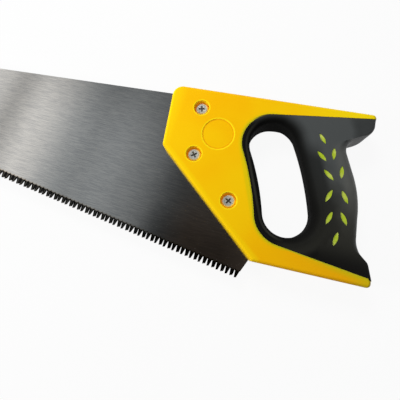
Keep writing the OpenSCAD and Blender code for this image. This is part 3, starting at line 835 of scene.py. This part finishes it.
def sleeveRubber():
    look = sleeveLook
    material, tree, shader, place = startMaterial("sleeveRubber")
    skin = placeSkin(tree, place, look)
    height = separated(tree, place)["Y"]
    flat = flatPlace(tree, place)
    ownY = separated(tree, flat)["Y"]
    away, share = stemGap(tree, flat, spineTop, spineBottom)
    # Painted sheen, lighter towards the top, with random mottling added
    heightSheen = ranged(tree, height, *look["sheenY"])
    patches = ranged(tree, skin["Patches"], *look["patchRange"], *look["patchDust"])
    dustAndSheen = worked(tree, "ADD", heightSheen, patches)
    # Painted sheen, lighter towards the back of the grip
    dustAndSheen = worked(tree, "ADD", dustAndSheen, ranged(tree, away, *look["back"], *look["backSheen"]))
    # Painted shade towards the horn and the lower end
    dustAndSheen = product(tree, dustAndSheen, ranged(tree, away, *look["ends"], 1, look["endSheenShare"]))
    dustAndSheen = worked(tree, "MINIMUM", dustAndSheen, product(tree, heightSheen, look["sheenLimit"]))
    dustAndSheen = product(tree, dustAndSheen, ranged(tree, ownY, *look["lowEndY"]))
    # Near the opening the painted sheen follows the height alone
    nearSheen = ranged(tree, height, *look["nearY"], look["nearSheen"], 1)
    near = product(tree, ranged(tree, away, *look["near"]), worked(tree, "SUBTRACT", nearSheen, dustAndSheen))
    dustAndSheen = worked(tree, "ADD", dustAndSheen, near)
    waist = product(tree, ranged(tree, share, *look["waistTop"]), ranged(tree, ownY, *look["waistLowY"]),
                    ranged(tree, away, *look["waist"], 0, look["waistShare"]))
    dustAndSheenGrey = mixed(tree, ranged(tree, height, *look["coolY"]), look["dustAndSheenLow"], look["dustAndSheenGrey"])
    dustAndSheenGrey = mixed(tree, waist, dustAndSheenGrey, look["sheen"])
    base = mixed(tree, dustAndSheen, look["deep"], dustAndSheenGrey)
    base = mixed(tree, ranged(tree, away, *look["rim"]), look["black"], base)
    # Painted highlight along the ridge of the front rim
    low, high = look["ridge"]
    soft = look["ridgeSoft"]
    ridge = product(tree, ranged(tree, away, low - soft, low), ranged(tree, away, high + soft, high))
    rim = mixed(tree, ridge, look["black"], look["ridgeHighlight"])
    fromTop = vectored(tree, "SUBTRACT", flat, spineTop.to_3d())
    across = vectored(tree, "DOT_PRODUCT", fromTop, spineSide.to_3d())
    base = mixed(tree, ranged(tree, across, *look["frontSideX"]), base, rim)
    roughness = largest(tree, skinRoughness(tree, skin, look), ranged(tree, away, *look["wall"]))
    feed(tree, base, shader.inputs["Base Color"])
    feed(tree, roughness, shader.inputs["Roughness"])
    shader.inputs["Specular IOR Level"].default_value = look["specular"]
    bumped(tree, shader, skin["Grain"], *look["bump"])
    return material


# Lime core, dark at its upper end
coreLook = {
    "lime": linear(176, 198, 36), "pale": linear(200, 212, 96), "paleRange": (0.4, 0.75),
    "lipLime": linear(186, 182, 8), "lipPale": linear(206, 188, 6),
    "dark": linear(44, 44, 38), "upperEndY": (-21, -13.5),
    "patch": 6 * mm, "grain": 0.8 * mm, "roughness": (0.35, 0.5),
}


def corePlastic(name, lime, pale):
    look = coreLook
    material, tree, shader, place = startMaterial(name)
    skin = placeSkin(tree, place, look)
    base = mixed(tree, ranged(tree, skin["Patches"], *look["paleRange"]), look[lime], look[pale])
    upper = ranged(tree, separated(tree, handlePlace(tree, place))["Y"], *look["upperEndY"])
    feed(tree, mixed(tree, upper, base, look["dark"]), shader.inputs["Base Color"])
    feed(tree, skinRoughness(tree, skin, look), shader.inputs["Roughness"])
    return material


# Nickel plated fasteners, with painted shade in the cross recess
nickelLook = {
    "bright": linear(242, 244, 238), "dull": linear(190, 194, 188),
    "recessShadeLight": linear(140, 138, 130), "recessShadeDark": linear(90, 88, 82),
    "patch": 2.5 * mm, "grain": 0.3 * mm, "roughness": (0.26, 0.38), "metal": 0.5,
}


def fastenerNickel(name, dull, bright):
    look = nickelLook
    material, tree, shader, place = startMaterial(name)
    skin = placeSkin(tree, place, look)
    feed(tree, mixed(tree, skin["Patches"], look[dull], look[bright]), shader.inputs["Base Color"])
    feed(tree, skinRoughness(tree, skin, look), shader.inputs["Roughness"])
    shader.inputs["Metallic"].default_value = look["metal"]
    return material


def dress(piece, *materials):
    if len(materials) == 1:  # clearing would reset the screws' second material
        piece.data.materials.clear()
    for material in materials:
        piece.data.materials.append(material)


dress(plate, bladeSteel())
dress(body, bodyPlastic())
dress(nodes["grip_core"], corePlastic("corePlastic", "lime", "pale"))
dress(lip, corePlastic("lipPlastic", "lipLime", "lipPale"))
dress(sleeve, sleeveRubber())
nickel = fastenerNickel("fastenerNickel", "dull", "bright")
# Painted shade for the cross recess of the screws
recessShade = fastenerNickel("recessShade", "recessShadeDark", "recessShadeLight")
for side, screw in zip(screwShape["turns"], screws):
    dress(screw, nickel, recessShade)
    dress(nodes["nut_" + side], nickel)
print("materials done:", len(bpy.data.materials))


# Stage: pale floor, soft lights and a graded card that only reflections see
stageLook = {
    "floorSize": 8.0, "floorParts": 8, "floorBelow": 0.05 * mm,
    "floorGrey": 0.65, "floorRoughness": 0.9, "floorWhite": 0.93,
    "ambient": 0.16,
    "lamps": {  # spot, target, size and power
        "keyLamp": ((-0.15, 0.35, 0.55), (0.18, 0, 0), 0.3, 3.6),
        "fillLamp": ((-0.45, -0.3, 0.35), (0.18, 0, 0), 0.3, 3.8)},
}


def grey(value):
    return (value, value, value, 1)


# Rays of the camera, of metal and of glass, which see white around the saw
def whiteRays(tree):
    path = addNode(tree, "ShaderNodeLightPath").outputs
    return largest(tree, path["Is Camera Ray"], path["Is Glossy Ray"], path["Is Transmission Ray"])


def makeFloor():
    look = stageLook
    bm = bmesh.new()
    parts = look["floorParts"]
    bmesh.ops.create_grid(bm, x_segments=parts, y_segments=parts, size=look["floorSize"] / 2)
    bmesh.ops.translate(bm, verts=bm.verts, vec=(0, 0, cadLow.z - look["floorBelow"]))
    floor = settled(bm, "floor")
    material, tree, shader, _ = startMaterial("floorPaper")
    shader.inputs["Base Color"].default_value = grey(look["floorGrey"])
    shader.inputs["Roughness"].default_value = look["floorRoughness"]
    shine = addNode(tree, "ShaderNodeEmission", Color=white, Strength=1.0)
    blend = addNode(tree, "ShaderNodeMixShader", Fac=product(tree, whiteRays(tree), look["floorWhite"]))
    tree.links.new(shader.outputs[0], blend.inputs[1])
    tree.links.new(shine.outputs[0], blend.inputs[2])
    surfaced(tree, blend)
    floor.data.materials.append(material)


def makeWorld():
    world = bpy.data.worlds.new("studio")
    scene.world = world
    world.use_nodes = True
    tree = world.node_tree
    tone = mixed(tree, whiteRays(tree), grey(stageLook["ambient"]), white)
    feed(tree, tone, tree.nodes["Background"].inputs["Color"])


# The card stands for the room that the blade reflects
cardLook = {
    "x": (-0.62, 0.62), "y": (-0.45, 0.55), "height": 0.432, "fade": 0.14,
    "greys": (  # place along the card and its grey
        (-0.62, 1.0), (-0.53, 0.9), (-0.465, 0.8), (-0.424, 0.42), (-0.353, 0.95), (-0.301, 0.74),
        (-0.249, 0.46), (-0.197, 0.33), (-0.126, 0.365), (-0.065, 0.28), (-0.02, 0.2), (0.015, 0.105),
        (0.05, 0.057), (0.1, 0.046), (0.191, 0.034), (0.34, 0.1), (0.6, 1.0)),
    "cool": (0.95, 1.02, 1.08, 1), "coolX": (-0.34, -0.2),
    "warm": (1.16, 0.86, 0.66, 1), "warmX": (0.03, 0.11), "warmY": (0.12, -0.06),
    "shade": 0.38, "shadeX": (-0.45, -0.3), "shadeY": (0.06, 0.26),
    "lowShade": 0.4, "lowShadeX": (-0.01, 0.04), "lowShadeY": (0.0, -0.07),
}


def makeCard():
    look = cardLook
    (left, right), (near, far) = look["x"], look["y"]
    bm = bmesh.new()
    bmesh.ops.create_grid(bm, x_segments=1, y_segments=1, size=0.5)
    bmesh.ops.scale(bm, verts=bm.verts, vec=(right - left, far - near, 1))
    bmesh.ops.translate(bm, verts=bm.verts, vec=((left + right) / 2, (near + far) / 2, look["height"]))
    card = settled(bm, "reflectionCard")
    material, tree, _, place = startMaterial("cardPaper")
    split = separated(tree, place)

    def patch(name, strength=1.0):
        return product(tree, ranged(tree, split["X"], *look[name + "X"]),
                       ranged(tree, split["Y"], *look[name + "Y"], 0, strength))

    ramp = addNode(tree, "ShaderNodeValToRGB", Fac=ranged(tree, split["X"], left, right, smooth=False))
    stops = ramp.color_ramp.elements
    while len(stops) < len(look["greys"]):
        stops.new(1.0)
    for stop, (spot, value) in zip(stops, look["greys"]):
        stop.position = (spot - left) / (right - left)
        stop.color = grey(value)
    cool = ranged(tree, split["X"], *look["coolX"])
    tone = mixed(tree, cool, ramp.outputs["Color"], look["cool"], "MULTIPLY")
    tone = mixed(tree, patch("warm"), tone, look["warm"], "MULTIPLY")
    shade = largest(tree, *(patch(name, look[name]) for name in ("shade", "lowShade")))
    tone = mixed(tree, shade, tone, black)
    rim = largest(tree, ranged(tree, split["Y"], near + look["fade"], near),
                  ranged(tree, split["Y"], far - look["fade"], far))
    surfaced(tree, addNode(tree, "ShaderNodeEmission", Color=mixed(tree, rim, tone, white), Strength=1.0))
    card.data.materials.append(material)
    for kind in ("camera", "diffuse", "transmission", "volume_scatter", "shadow"):
        setattr(card, "visible_" + kind, False)


def makeLamp(name, spot, target, size, power):
    lamp = bpy.data.lights.new(name, "AREA")
    lamp.shape = "DISK"
    lamp.size = size
    lamp.energy = power
    holder = bpy.data.objects.new(name, lamp)
    scene.collection.objects.link(holder)
    holder.location = spot
    holder.visible_glossy = False
    holder.rotation_euler = (Vector(target) - Vector(spot)).to_track_quat("-Z", "Y").to_euler()


makeFloor()
makeWorld()
makeCard()
for name, values in stageLook["lamps"].items():
    makeLamp(name, *values)
print("stage done")


# Camera above the heel, placed from the toe end of the tooth tips and the blade's middle
cameraLook = {
    "eye": (483.56 * mm, 12.48 * mm, 228 * mm), "turn": (10.27, 4.23, 22.70),
    "lens": 26.83, "sensor": 36, "clip": 0.01,
}
camera = bpy.data.objects.new("photoCamera", bpy.data.cameras.new("photoCamera"))
scene.collection.objects.link(camera)
toeEnd = Vector((bladeLow.x, bladeLow.y, (bladeLow.z + bladeHigh.z) / 2))
camera.location = toeEnd + Vector(cameraLook["eye"])
camera.rotation_euler = Euler([math.radians(a) for a in cameraLook["turn"]])
camera.data.sensor_width = cameraLook["sensor"]
camera.data.lens = cameraLook["lens"]
camera.data.clip_start = cameraLook["clip"]
scene.camera = camera
print("camera done")
